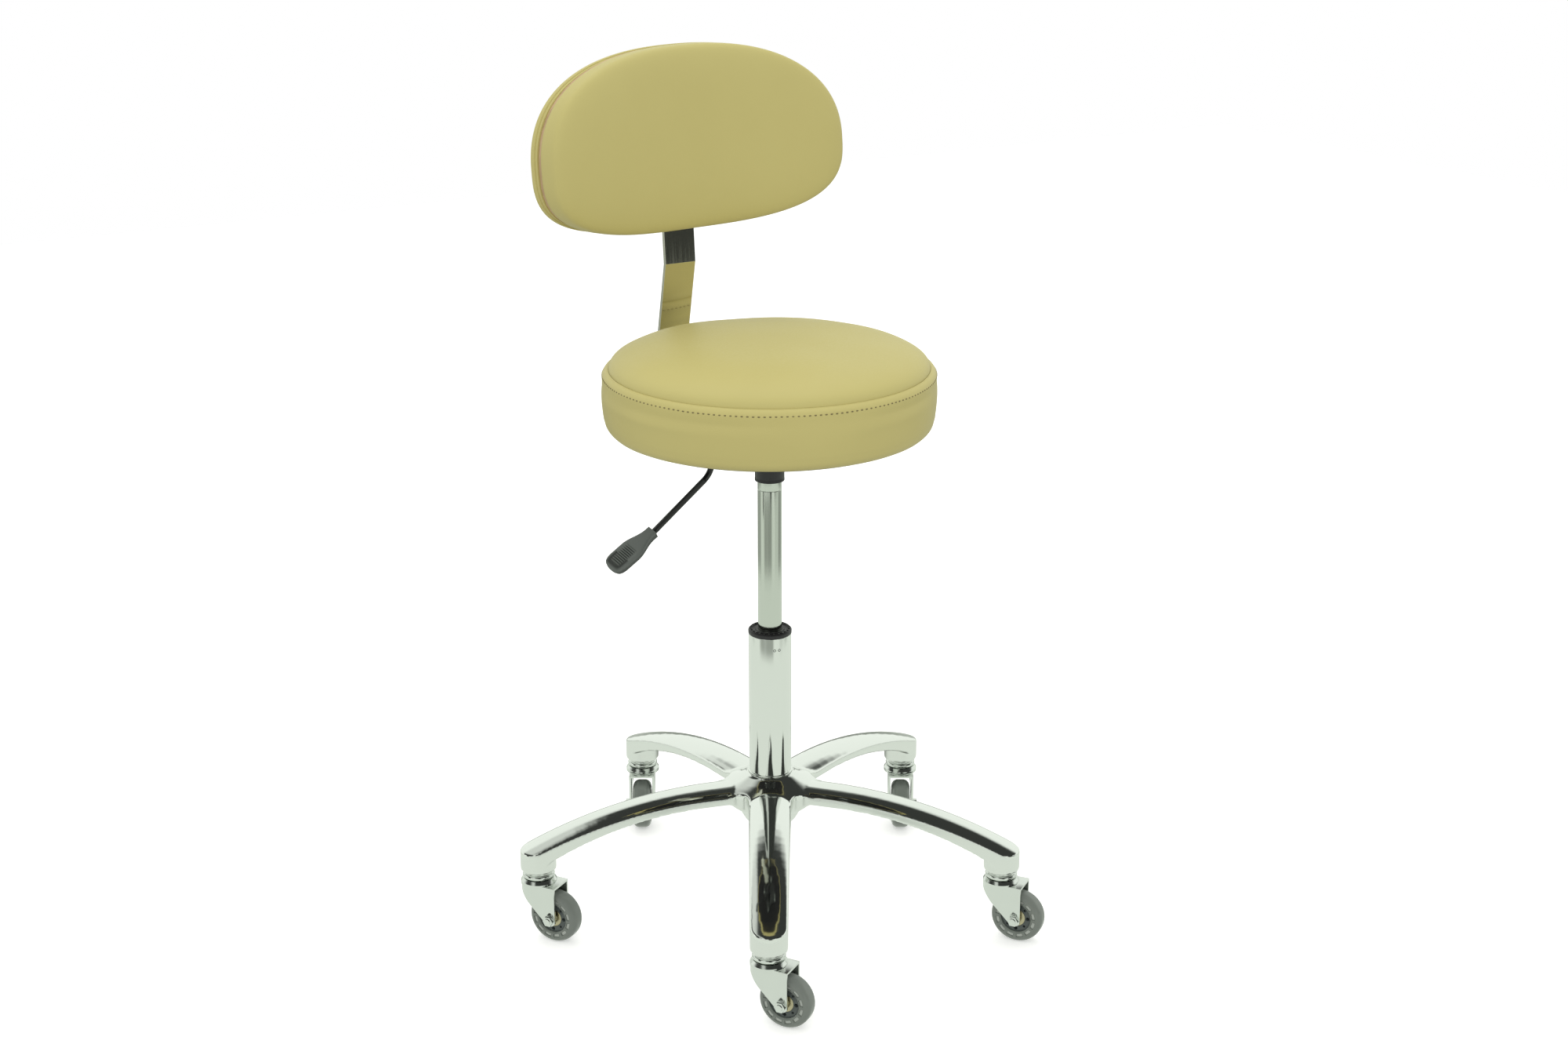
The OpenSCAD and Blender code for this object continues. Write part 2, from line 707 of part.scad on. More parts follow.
hub_rim_r = 18;
module castor_wheel_hub(n) {
  windows = 8;
  web = 16;
  color("dimgray") at_castor(n) translate([trail, 0, wheel_r]) rotate([90, 0, 0]) difference() {
    translate([0, 0, -web / 2]) cylinder(r = hub_rim_r, h = web);
    translate([0, 0, -web / 2 - cut]) cylinder(r = 11, h = web + 2 * cut);
    for (i = [0:windows - 1]) rotate(i * 360 / windows)
      translate([14.3, 0, -web / 2 - cut]) cylinder(r = i % 2 == 0 ? 2.2 : 1.5, h = web + 2 * cut);
  }
}

module castor_tyre(n) {
  shoulder = 8;
  half = wheel_w / 2;
  color("darkgray") at_castor(n) translate([trail, 0, wheel_r]) rotate([90, 0, 0]) difference() {
    rotate_extrude() union() {
      polygon([[hub_rim_r - cut, -half + 2], [21, -half], [wheel_r - shoulder, -half],
               [wheel_r - shoulder, half], [21, half], [hub_rim_r - cut, half - 2]]);
      translate([wheel_r - shoulder - cut, -half + shoulder]) square([shoulder + cut, wheel_w - 2 * shoulder]);
      for (side = [-1, 1]) translate([wheel_r - shoulder, side * (half - shoulder)]) circle(r = shoulder);
    }
    translate([0, 0, -wheel_w]) cylinder(r = hub_rim_r, h = 2 * wheel_w);
  }
}

// a ball bearing in each face of the hub
module castor_bearings(n) {
  color("goldenrod") at_castor(n) translate([trail, 0, wheel_r]) rotate([90, 0, 0])
    for (z = [-8, 1]) translate([0, 0, z]) difference() {
      cylinder(r = 11, h = 7);
      translate([0, 0, -cut]) cylinder(r = axle_r + run_gap, h = 7 + 2 * cut);
    }
}

star_base();
stand_tube();
tube_floor();
guide_bush();
thrust_bearing();
bump_stop();
piston_rod();
piston();
rod_clip();
gas_cylinder();
cylinder_end();
release_pin();
valve_socket();
seat_plate();
plate_screws();
lever_pivot_pin();
lever_rod();
lever_grip();
seat_board();
seat_foam();
seat_cover();
dust_cover();
backrest_bar();
bar_screws();
backrest_board();
backrest_foam();
backrest_cover();
backrest_rear_panel();
backrest_bolts();
for (n = [1:CASTORS]) {
  castor_stem(n);
  castor_fork(n);
  castor_axle(n);
  castor_wheel_hub(n);
  castor_tyre(n);
  castor_bearings(n);
}
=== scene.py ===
# %% [markdown]
# # A pedicure stool
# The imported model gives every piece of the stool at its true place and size. Each cell
# below dresses one piece: a smooth, detailed mesh takes the place of the plain solid, or
# the solid stays and only gets a finish. Pieces ride on the body they move with.

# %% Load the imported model
import json
import math

import bmesh
import bpy
from mathutils import Matrix, Vector, noise


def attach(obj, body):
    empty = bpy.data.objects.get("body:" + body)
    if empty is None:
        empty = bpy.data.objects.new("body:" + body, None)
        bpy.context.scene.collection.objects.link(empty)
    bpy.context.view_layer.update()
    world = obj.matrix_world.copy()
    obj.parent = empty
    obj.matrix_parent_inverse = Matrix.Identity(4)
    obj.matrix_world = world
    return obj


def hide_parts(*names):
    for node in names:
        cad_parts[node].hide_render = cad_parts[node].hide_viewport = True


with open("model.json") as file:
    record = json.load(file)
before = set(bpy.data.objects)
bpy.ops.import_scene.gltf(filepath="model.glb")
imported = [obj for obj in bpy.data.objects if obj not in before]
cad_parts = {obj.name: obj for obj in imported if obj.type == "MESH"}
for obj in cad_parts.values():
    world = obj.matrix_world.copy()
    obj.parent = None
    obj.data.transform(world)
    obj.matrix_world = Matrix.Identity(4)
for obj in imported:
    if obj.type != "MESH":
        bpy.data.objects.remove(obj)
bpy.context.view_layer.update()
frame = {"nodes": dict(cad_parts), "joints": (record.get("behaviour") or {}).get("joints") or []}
nodes = frame["nodes"]
joints = {joint["name"]: joint for joint in frame["joints"]}
MM = 0.001

# %% [markdown]
# ## Helpers
# Blender's operators act on whatever is selected, so each helper starts by deselecting
# everything. A finished piece keeps its object at the origin, with its place in its mesh.


# %% Selecting and applying
def only(piece):
    if bpy.context.object and bpy.context.object.mode != "OBJECT":
        bpy.ops.object.mode_set(mode="OBJECT")
    bpy.ops.object.select_all(action="DESELECT")
    piece.select_set(True)
    bpy.context.view_layer.objects.active = piece


def apply_modifier(piece, kind, **settings):
    modifier = piece.modifiers.new(kind.title(), kind)
    for name, value in settings.items():
        setattr(modifier, name, value)
    only(piece)
    bpy.ops.object.modifier_apply(modifier=modifier.name)


def smooth(piece, degrees=35):
    only(piece)
    bpy.ops.object.shade_smooth_by_angle(angle=math.radians(degrees))


def mesh_piece(name, points, edges=(), faces=()):
    mesh = bpy.data.meshes.new(name)
    mesh.from_pydata([Vector(p) for p in points], list(edges), list(faces))
    piece = bpy.data.objects.new(name, mesh)
    bpy.context.scene.collection.objects.link(piece)
    return piece


def tidy_shell(piece, gap=0.02 * MM):
    only(piece)
    bpy.ops.object.mode_set(mode="EDIT")
    bpy.ops.mesh.select_all(action="SELECT")
    bpy.ops.mesh.remove_doubles(threshold=gap)
    bpy.ops.mesh.normals_make_consistent(inside=False)
    bpy.ops.object.mode_set(mode="OBJECT")


def take_place(piece, finish, body, slot, *replaced):
    """Gives a finished piece its material, its body and the solids it stands for; its slot is not used."""
    piece.data.materials.clear()
    piece.data.materials.append(finish)
    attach(piece, body)
    if replaced:
        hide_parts(*replaced)


# %% [markdown]
# A turned part is drawn as half of its section, then spun a full turn about an upright
# axis. Corners of a drawn section are rounded first, because no real edge is perfectly sharp.


# %% Turned sections
def rounded(section, radius, steps=4):
    """Rounds every inner corner of an open line of (r, z) points, in millimetres."""
    result = [section[0]]
    for before, corner, after in zip(section, section[1:], section[2:]):
        a, b, c = Vector(before), Vector(corner), Vector(after)
        reach = min(radius, (a - b).length * 0.45, (c - b).length * 0.45)
        start, end = b + (a - b).normalized() * reach, b + (c - b).normalized() * reach
        for i in range(steps + 1):
            t = i / steps
            result.append(tuple(start * (1 - t) ** 2 + b * 2 * t * (1 - t) + end * t ** 2))
    return result + [section[-1]]


def turned(name, section, steps=96, centre=(0, 0)):
    """Spins a section of (r, z) millimetres about an upright axis through centre, in metres."""
    piece = mesh_piece(name, [(centre[0] + r * MM, centre[1], z * MM) for r, z in section],
                       [(i, i + 1) for i in range(len(section) - 1)])
    only(piece)
    bpy.ops.object.mode_set(mode="EDIT")
    bpy.ops.mesh.select_all(action="SELECT")
    bpy.ops.mesh.spin(steps=steps, angle=2 * math.pi, center=(*centre, 0), axis=(0, 0, 1))
    bpy.ops.object.mode_set(mode="OBJECT")
    tidy_shell(piece)
    smooth(piece)
    return piece


# %% [markdown]
# A plain solid that already has the right shape is copied, its loose triangles are joined
# and flattened into whole faces, and its edges get a narrow bevel that catches the light.


# %% Refined copies of solids
def refined(node, name, bevel=0.4, segments=2, degrees=35):
    mesh = nodes[node].data.copy()
    piece = bpy.data.objects.new(name, mesh)
    bpy.context.scene.collection.objects.link(piece)
    tidy_shell(piece, 0.005 * MM)
    only(piece)
    bpy.ops.object.mode_set(mode="EDIT")
    bpy.ops.mesh.select_all(action="SELECT")
    bpy.ops.mesh.dissolve_limited(angle_limit=math.radians(0.5))
    bpy.ops.object.mode_set(mode="OBJECT")
    if bevel:
        apply_modifier(piece, "BEVEL", width=bevel * MM, segments=segments, limit_method="ANGLE",
                       angle_limit=math.radians(degrees), harden_normals=False)
    smooth(piece, degrees)
    return piece


# %% [markdown]
# ## Stage, light and camera
# Polished metal shows its surroundings, so the world is drawn like a studio: bright walls
# and floor under a darker ceiling. Large soft lights that reflections don't show give the
# vinyl its gentle shading.

# %% Camera
camera_data = bpy.data.cameras.new("camera")
camera_data.sensor_width = 36
camera_data.lens = 53.92
camera_data.dof.use_dof = False
camera = bpy.data.objects.new("camera", camera_data)
bpy.context.scene.collection.objects.link(camera)
camera.location = (-1.2718, -2.2357, 1.334)
camera.rotation_euler = (math.radians(90 - 18.29), 0, math.radians(-30))
bpy.context.scene.camera = camera
print("camera at", tuple(camera.location))

# %% Small kit for node maths
# two directions across the floor: away from the camera, and to its right
AWAY, BESIDE = (0.5, 0.866, 0), (0.866, -0.5, 0)


def operate(tree, kind, operation, *values):
    node = tree.nodes.new(kind)
    node.operation = operation
    for socket, value in zip(node.inputs, values):
        if isinstance(value, bpy.types.NodeSocket):
            tree.links.new(value, socket)
        else:
            socket.default_value = value
    return node


def calc(tree, operation, *values):
    return operate(tree, "ShaderNodeMath", operation, *values).outputs[0]


def along(tree, source, direction):
    return operate(tree, "ShaderNodeVectorMath", "DOT_PRODUCT", source, direction).outputs["Value"]


def soft_step(tree, source, start, end):
    """0 at start, 1 at end, smooth between; start may be the larger."""
    node = tree.nodes.new("ShaderNodeMapRange")
    node.interpolation_type = "SMOOTHSTEP"
    node.inputs["From Min"].default_value = start
    node.inputs["From Max"].default_value = end
    tree.links.new(source, node.inputs["Value"])
    return node.outputs[0]


def band(tree, source, middle, inner, outer):
    """1 within inner of the middle, 0 beyond outer."""
    distance = calc(tree, "ABSOLUTE", calc(tree, "SUBTRACT", source, middle))
    return soft_step(tree, distance, outer, inner)


def mixed(tree, amount, first, second):
    node = tree.nodes.new("ShaderNodeMix")
    node.data_type = "RGBA"
    tree.links.new(amount, node.inputs["Factor"])
    node.inputs["A"].default_value = (*first, 1)
    node.inputs["B"].default_value = (*second, 1)
    return node.outputs["Result"]


def switched(tree, ray, first, second):
    """Shows the second shader to one kind of ray and the first to all others."""
    node = tree.nodes.new("ShaderNodeMixShader")
    tree.links.new(tree.nodes.new("ShaderNodeLightPath").outputs[ray], node.inputs[0])
    tree.links.new(first, node.inputs[1])
    tree.links.new(second, node.inputs[2])
    return node.outputs[0]


# %% [markdown]
# The floor is plain and pale. What polished metal shows of it is a little darker and carries
# a few soft bands further out, which become the upright streaks on the cylinder.

# %% Floor
bpy.ops.object.select_all(action="DESELECT")
bpy.ops.mesh.primitive_plane_add(size=9, location=(0, 0, 0))
floor = bpy.context.object
floor.name = "floor"
floor_finish = bpy.data.materials.new("pale floor")
floor_finish.use_nodes = True
ground_tree = floor_finish.node_tree
floor_shader = ground_tree.nodes["Principled BSDF"]
floor_shader.inputs["Base Color"].default_value = (0.93, 0.935, 0.925, 1)
floor_shader.inputs["Roughness"].default_value = 0.9
floor_shader.inputs["Specular IOR Level"].default_value = 0.1
floor_shader.inputs["Emission Color"].default_value = (1.0, 1.0, 1.0, 1)
floor_shader.inputs["Emission Strength"].default_value = 0.34
spot = ground_tree.nodes.new("ShaderNodeTexCoord").outputs["Object"]
reach = operate(ground_tree, "ShaderNodeVectorMath", "LENGTH", spot).outputs["Value"]
bearing = calc(ground_tree, "ARCTAN2", along(ground_tree, spot, BESIDE), along(ground_tree, spot, AWAY))
streaks = calc(ground_tree, "SINE", calc(ground_tree, "MULTIPLY_ADD", bearing, 3.0, 0.9))
fine_streaks = calc(ground_tree, "SINE", calc(ground_tree, "MULTIPLY_ADD", bearing, 7.0, 2.2))
streaks = calc(ground_tree, "MULTIPLY_ADD", fine_streaks, 0.55, streaks)
far_bands = calc(ground_tree, "MULTIPLY", soft_step(ground_tree, streaks, 0.9, -0.7),
                 soft_step(ground_tree, reach, 1.15, 1.35))
behind = calc(ground_tree, "MULTIPLY", band(ground_tree, bearing, 0.0, 0.1, 0.55),
              soft_step(ground_tree, reach, 0.25, 0.4))
bands = calc(ground_tree, "MAXIMUM", calc(ground_tree, "MULTIPLY", far_bands, 0.72),
             calc(ground_tree, "MULTIPLY", behind, 0.85))
FLOOR_PALE, FLOOR_BAND = (0.80, 0.86, 0.775), (0.2, 0.22, 0.19)
floor_mirrored = ground_tree.nodes.new("ShaderNodeEmission")
ground_tree.links.new(mixed(ground_tree, bands, FLOOR_PALE, FLOOR_BAND), floor_mirrored.inputs[0])
floor_bounce = ground_tree.nodes.new("ShaderNodeEmission")
floor_bounce.inputs[0].default_value = (0.66, 0.66, 0.63, 1)
seen_or_mirrored = switched(ground_tree, "Is Glossy Ray", floor_shader.outputs[0], floor_mirrored.outputs[0])
ground_tree.links.new(switched(ground_tree, "Is Diffuse Ray", seen_or_mirrored, floor_bounce.outputs[0]),
                      ground_tree.nodes["Material Output"].inputs["Surface"])
floor.data.materials.append(floor_finish)
print("floor", tuple(floor.dimensions))

# %% [markdown]
# The room is drawn by direction alone: pale walls, a dark ceiling that reaches lower on the
# camera's side, a long soft box hanging in the dark, and dark upright shapes near the
# horizon. Light for matt surfaces stays even, so the vinyl isn't striped by the ceiling.

# %% World
world = bpy.data.worlds.new("studio")
bpy.context.scene.world = world
world.use_nodes = True
sky = world.node_tree
sky.nodes.clear()
direction = sky.nodes.new("ShaderNodeTexCoord").outputs["Generated"]
upward, away, beside = (along(sky, direction, axis) for axis in ((0, 0, 1), AWAY, BESIDE))
ceiling = soft_step(sky, calc(sky, "MULTIPLY_ADD", away, -0.24, upward), 0.33, 0.56)
soft_box = calc(sky, "MULTIPLY", band(sky, beside, -0.46, 0.07, 0.2), soft_step(sky, upward, 0.99, 0.8))
ceiling = calc(sky, "SUBTRACT", ceiling, calc(sky, "MULTIPLY", calc(sky, "MULTIPLY", ceiling, soft_box), 0.7))
doorway = calc(sky, "MULTIPLY", band(sky, beside, 0.18, 0.12, 0.2), soft_step(sky, away, -0.72, -0.86))
doorway = calc(sky, "MULTIPLY", doorway, band(sky, upward, 0.1, 0.3, 0.42))
right_flat = calc(sky, "MULTIPLY", band(sky, beside, 0.86, 0.14, 0.22), soft_step(sky, away, 0.0, -0.2))
left_flat = calc(sky, "MULTIPLY", band(sky, beside, -0.86, 0.05, 0.11), soft_step(sky, away, 0.35, -0.15))
flats = calc(sky, "MULTIPLY", calc(sky, "MAXIMUM", right_flat, left_flat),
             soft_step(sky, upward, -0.25, -0.14))
dark = calc(sky, "MAXIMUM", calc(sky, "MAXIMUM", ceiling, doorway), flats)
room = sky.nodes.new("ShaderNodeBackground")
WALL_PALE, WALL_DARK = (0.95, 1.0, 0.93), (0.012, 0.014, 0.012)
sky.links.new(mixed(sky, calc(sky, "MULTIPLY", dark, 0.97), WALL_PALE, WALL_DARK), room.inputs["Color"])
even = sky.nodes.new("ShaderNodeBackground")
even.inputs["Color"].default_value = (1.0, 1.0, 0.97, 1)
even.inputs["Strength"].default_value = 0.9
backdrop = sky.nodes.new("ShaderNodeBackground")
backdrop.inputs["Color"].default_value = (1, 1, 1, 1)
lit = switched(sky, "Is Diffuse Ray", room.outputs[0], even.outputs[0])
sky.links.new(switched(sky, "Is Camera Ray", lit, backdrop.outputs[0]),
              sky.nodes.new("ShaderNodeOutputWorld").inputs[0])
bpy.context.scene.view_settings.view_transform = "Standard"
print("world nodes", len(sky.nodes))


# %% Soft lights
def soft_light(name, place, aim, size, power):
    data = bpy.data.lights.new(name, "AREA")
    data.shape = "RECTANGLE"
    data.size, data.size_y = size
    data.energy = power
    light = bpy.data.objects.new(name, data)
    bpy.context.scene.collection.objects.link(light)
    light.location = place
    light.rotation_euler = (Vector(aim) - Vector(place)).to_track_quat("-Z", "Y").to_euler()
    light.visible_glossy = False


soft_light("overhead", (0.4, 1.0, 3.2), (0, 0, 0.6), (2.4, 2.4), 26)
soft_light("key", (-1.5, -2.6, 2.2), (0, 0, 0.8), (1.4, 1.4), 18)

# %% [markdown]
# ## Finishes
# Each finish starts from the same shader and adds what the real surface shows: grain,
# slight unevenness of gloss, faint waviness. Patterns read Object coordinates, in metres.


# %% A small kit for finishes
class Finish:
    def __init__(self, name, colour, roughness, metallic=0.0, **sockets):
        self.material = bpy.data.materials.new(name)
        self.material.use_nodes = True
        self.tree = self.material.node_tree
        self.shader = self.tree.nodes["Principled BSDF"]
        self.shader.inputs["Base Color"].default_value = (*colour, 1)
        self.shader.inputs["Roughness"].default_value = roughness
        self.shader.inputs["Metallic"].default_value = metallic
        self.colour = colour
        for socket, value in sockets.items():
            self.shader.inputs[socket.replace("_", " ")].default_value = value
        self.place = self.tree.nodes.new("ShaderNodeTexCoord").outputs["Object"]
        self.height = None

    def pattern(self, kind="noise", scale=100.0, stretch=(1, 1, 1), detail=2.0):
        mapping = self.tree.nodes.new("ShaderNodeMapping")
        mapping.inputs["Scale"].default_value = stretch
        self.tree.links.new(self.place, mapping.inputs["Vector"])
        if kind == "noise":
            texture = self.tree.nodes.new("ShaderNodeTexNoise")
            texture.inputs["Detail"].default_value = detail
            output = texture.outputs["Fac"]
        else:
            texture = self.tree.nodes.new("ShaderNodeTexVoronoi")
            texture.feature = "SMOOTH_F1"
            output = texture.outputs["Distance"]
        texture.inputs["Scale"].default_value = scale
        self.tree.links.new(mapping.outputs[0], texture.inputs["Vector"])
        return output

    def blotch(self, source, darker, low=0.35, high=0.65):
        """Mixes the colour towards a darker one where the pattern is low."""
        ramp = self.tree.nodes.new("ShaderNodeValToRGB")
        ramp.color_ramp.elements[0].position = low
        ramp.color_ramp.elements[1].position = high
        ramp.color_ramp.elements[0].color = (*darker, 1)
        ramp.color_ramp.elements[1].color = (*self.colour, 1)
        self.tree.links.new(source, ramp.inputs[0])
        self.tree.links.new(ramp.outputs[0], self.shader.inputs["Base Color"])

    def uneven_gloss(self, source, low, high):
        spread = self.tree.nodes.new("ShaderNodeMapRange")
        spread.inputs["From Min"].default_value = 0.3
        spread.inputs["From Max"].default_value = 0.7
        spread.inputs["To Min"].default_value = low
        spread.inputs["To Max"].default_value = high
        self.tree.links.new(source, spread.inputs["Value"])
        self.tree.links.new(spread.outputs[0], self.shader.inputs["Roughness"])

    def relief(self, source, strength, distance):
        """Adds a bump; each call stacks on the one before."""
        bump = self.tree.nodes.new("ShaderNodeBump")
        bump.inputs["Strength"].default_value = strength
        bump.inputs["Distance"].default_value = distance
        self.tree.links.new(source, bump.inputs["Height"])
        if self.height is not None:
            self.tree.links.new(self.height, bump.inputs["Normal"])
        self.height = bump.outputs["Normal"]
        self.tree.links.new(self.height, self.shader.inputs["Normal"])


# %% Metals
polished = Finish("polished casting", (0.82, 0.84, 0.81), 0.08, 1.0)
polished.relief(polished.pattern(scale=16, detail=1), 0.16, 0.0008)
# the side walls of the arms are less polished than their crowns
satin_amount = polished.tree.nodes.new("ShaderNodeAttribute")
satin_amount.attribute_name = "satin"
satin_gloss = polished.tree.nodes.new("ShaderNodeMapRange")
satin_gloss.inputs["To Min"].default_value = 0.08
satin_gloss.inputs["To Max"].default_value = 0.3
polished.tree.links.new(satin_amount.outputs["Fac"], satin_gloss.inputs["Value"])
polished.tree.links.new(satin_gloss.outputs[0], polished.shader.inputs["Roughness"])

chrome = Finish("chrome plate", (0.8, 0.82, 0.79), 0.05, 1.0)
chrome.uneven_gloss(chrome.pattern(scale=60), 0.04, 0.08)

ground = Finish("ground steel", (0.62, 0.655, 0.595), 0.14, 1.0)
ground.uneven_gloss(ground.pattern(scale=8, stretch=(1, 1, 220), detail=3), 0.08, 0.17)
ground.relief(ground.pattern(scale=10, stretch=(1, 1, 400), detail=2), 0.06, 0.0002)

bar_steel = Finish("bar steel", (0.76, 0.74, 0.64), 0.08, 1.0)
bar_steel.uneven_gloss(bar_steel.pattern(scale=14, stretch=(60, 1, 1), detail=4), 0.05, 0.11)
bar_steel.relief(bar_steel.pattern(scale=10, stretch=(160, 1, 1), detail=3), 0.05, 0.0002)

zinc = Finish("bright zinc", (0.74, 0.765, 0.735), 0.16, 1.0)
zinc.uneven_gloss(zinc.pattern(scale=90, detail=3), 0.11, 0.22)
zinc.relief(zinc.pattern(scale=140, detail=2), 0.08, 0.0002)

bearing_metal = Finish("yellow bearing shield", (0.5, 0.45, 0.3), 0.28, 1.0)
bearing_metal.uneven_gloss(bearing_metal.pattern(scale=300), 0.2, 0.34)
print("metals", len(bpy.data.materials))

# %% Plastics, rubber and paint
black_plastic = Finish("black moulding", (0.018, 0.018, 0.019), 0.42)
black_plastic.uneven_gloss(black_plastic.pattern(scale=260), 0.36, 0.5)
black_plastic.relief(black_plastic.pattern(scale=1800), 0.15, 0.0001)

# painted shade: the grip's colour is darkened in the grooves between the ribs, round the rim of the thumb
# hollow, along the parting line and over the lower half
GRIP_UNSHADED, GRIP_PAINTED_SHADE = (0.115, 0.13, 0.118), (0.008, 0.01, 0.008)
grip_plastic = Finish("grained grip moulding", (0.1, 0.112, 0.104), 0.42)
grip_shade_amount = grip_plastic.tree.nodes.new("ShaderNodeAttribute")
grip_shade_amount.attribute_name = "painted_shade"
grip_colour = mixed(grip_plastic.tree, grip_shade_amount.outputs["Fac"], GRIP_UNSHADED, GRIP_PAINTED_SHADE)
grip_plastic.tree.links.new(grip_colour, grip_plastic.shader.inputs["Base Color"])
grip_plastic.relief(grip_plastic.pattern(scale=2200, detail=3), 0.3, 0.00012)

black_paint = Finish("black gloss paint", (0.012, 0.013, 0.012), 0.16)
black_paint.uneven_gloss(black_paint.pattern(scale=200), 0.12, 0.24)
black_paint.relief(black_paint.pattern(scale=500), 0.05, 0.0001)

rubber = Finish("black rubber", (0.02, 0.02, 0.02), 0.8)
rubber.relief(rubber.pattern(scale=1500), 0.2, 0.0001)

hub_plastic = Finish("grey hub moulding", (0.075, 0.09, 0.086), 0.35)
hub_plastic.uneven_gloss(hub_plastic.pattern(scale=400), 0.28, 0.45)

TYRE_GREY, POCKET_GREY = (0.2, 0.225, 0.2), (0.52, 0.56, 0.51)
tyre_finish = Finish("clear grey tyre", TYRE_GREY, 0.2, 0.0, Transmission_Weight=0.12, IOR=1.45)
tyre_finish.relief(tyre_finish.pattern(scale=350), 0.05, 0.0002)
# painted light: the floor of each moulded pocket is coloured lighter, for the light that comes through its
# thin floor
pocket_floor = tyre_finish.tree.nodes.new("ShaderNodeAttribute")
pocket_floor.attribute_name = "pocket"
tyre_colour = mixed(tyre_finish.tree, pocket_floor.outputs["Fac"], TYRE_GREY, POCKET_GREY)
tyre_finish.tree.links.new(tyre_colour, tyre_finish.shader.inputs["Base Color"])

# %% Upholstery and board
vinyl = Finish("khaki vinyl", (0.54, 0.482, 0.188), 0.46, Specular_IOR_Level=0.24)
vinyl.blotch(vinyl.pattern(scale=9, detail=3), (0.523, 0.465, 0.179), 0.3, 0.7)
vinyl.uneven_gloss(vinyl.pattern(scale=500, detail=2), 0.42, 0.52)
vinyl.relief(vinyl.pattern("voronoi", scale=850), 0.16, 0.00022)
vinyl.relief(vinyl.pattern(scale=2600, detail=3), 0.1, 0.0001)

thread = Finish("khaki thread", (0.23, 0.195, 0.08), 0.7)
thread.blotch(thread.pattern(scale=3000), (0.16, 0.13, 0.05))

plywood = Finish("plywood", (0.6, 0.43, 0.25), 0.7)
plywood.blotch(plywood.pattern(scale=18, stretch=(1, 9, 1), detail=5), (0.45, 0.31, 0.17))

dust_cloth = Finish("black dust cloth", (0.02, 0.02, 0.021), 0.9)
dust_cloth.blotch(dust_cloth.pattern(scale=1600, detail=3), (0.01, 0.01, 0.01))
dust_cloth.relief(dust_cloth.pattern(scale=1400, detail=3), 0.5, 0.0003)
print("finishes", len(bpy.data.materials))

# %% [markdown]
# ## Star base
# The casting is one body: five crowned arms flow out of the hub with no seam, so a copy of
# the solid is rebuilt as an even skin, then relaxed. That rounds every inner corner the
# way polishing does. A painted value tells the finish where the satin side walls are.


# %% Base casting
ARM_TOP, ARM_CREST, TOP_ARC, ARC_START = 150.0, 11.0, 545.0, 75.0
STEM_CIRCLE, HALF_IN, HALF_OUT = 284.8, 25.5, 20.9
ARM_ANGLES = [240 + 72 * n for n in range(5)]


def half_width(r):
    return HALF_IN + (HALF_OUT - HALF_IN) * (r - 45) / (STEM_CIRCLE - 45)


def edge_height(r):
    """Height of the crisp line between an arm's crown and its side wall."""
    drop = TOP_ARC - math.sqrt(TOP_ARC ** 2 - (r - ARC_START) ** 2) if r > ARC_START else 0
    w = min(half_width(min(r, STEM_CIRCLE)) / (HALF_IN + 0.8), 1)
    return ARM_TOP - drop + ARM_CREST * math.sqrt(1 - w * w)


casting = refined("star_base", "base_casting", bevel=0)
apply_modifier(casting, "REMESH", mode="VOXEL", voxel_size=1.5 * MM, use_smooth_shade=True)
apply_modifier(casting, "SMOOTH", factor=0.5, iterations=7)
satin = casting.data.attributes.new("satin", "FLOAT", "POINT")
for vertex in casting.data.vertices:
    x, y, z = vertex.co / MM
    turn = math.degrees(math.atan2(y, x))
    swing = min(abs((turn - a + 180) % 360 - 180) for a in ARM_ANGLES)
    outward = math.hypot(x, y) * math.cos(math.radians(swing))
    below = edge_height(outward) - z
    satin.data[vertex.index].value = min(max(0.5 + below / 1.6, 0), 1)
take_place(casting, polished.material, "base", "polished_aluminium", "star_base")
smooth(casting, 60)
print("casting faces", len(casting.data.polygons))

# %% [markdown]
# ## Gas lift
# Every piece of the lift is turned, so each is half a section spun round the column.

# %% Stand tube, with the two small dimples near its top drawn as black rings of painted shade
TUBE_TOP, TUBE_FOOT, TUBE_R, TUBE_BORE = 348, 98, 25, 23
DIMPLE_R, DIMPLE_Z = 1.3, 334
tube_section = [(TUBE_BORE, TUBE_FOOT), (TUBE_R, TUBE_FOOT), (TUBE_R, TUBE_TOP), (TUBE_BORE, TUBE_TOP)]
tube = turned("tube", rounded(tube_section, 0.4), 160)
take_place(tube, chrome.material, "base", "chrome", "stand_tube")
dimples = []
for degrees in (253, 266):
    a = math.radians(degrees)
    out = Vector((math.cos(a), math.sin(a), 0))
    bpy.ops.object.select_all(action="DESELECT")
    bpy.ops.mesh.primitive_torus_add(major_segments=28, minor_segments=8,
                                     major_radius=DIMPLE_R * MM, minor_radius=0.35 * MM)
    ring = bpy.context.object
    ring.data.transform(Matrix.Translation(out * (TUBE_R - 0.05) * MM + Vector((0, 0, DIMPLE_Z * MM)))
                        @ out.to_track_quat("Z", "Y").to_matrix().to_4x4())
    dimples.append(ring)
for n, ring in enumerate(dimples):
    ring.name = f"tube_dimple_shade_{n + 1}"
    smooth(ring, 60)
    # painted shade: each dimple is a thin black ring laid on the chrome, not a recess in the tube
    take_place(ring, black_paint.material, "base", "chrome")
print("tube and dimples", [tube.name] + [ring.name for ring in dimples])

# %% Ring where the tube enters the hub
ring_section = [(TUBE_R, 173.2), (26.3, 173.2), (26.3, 174.6), (TUBE_R, 174.9)]
collar = turned("hub_ring", rounded(ring_section, 0.4), 128)
take_place(collar, polished.material, "base", "polished_aluminium")

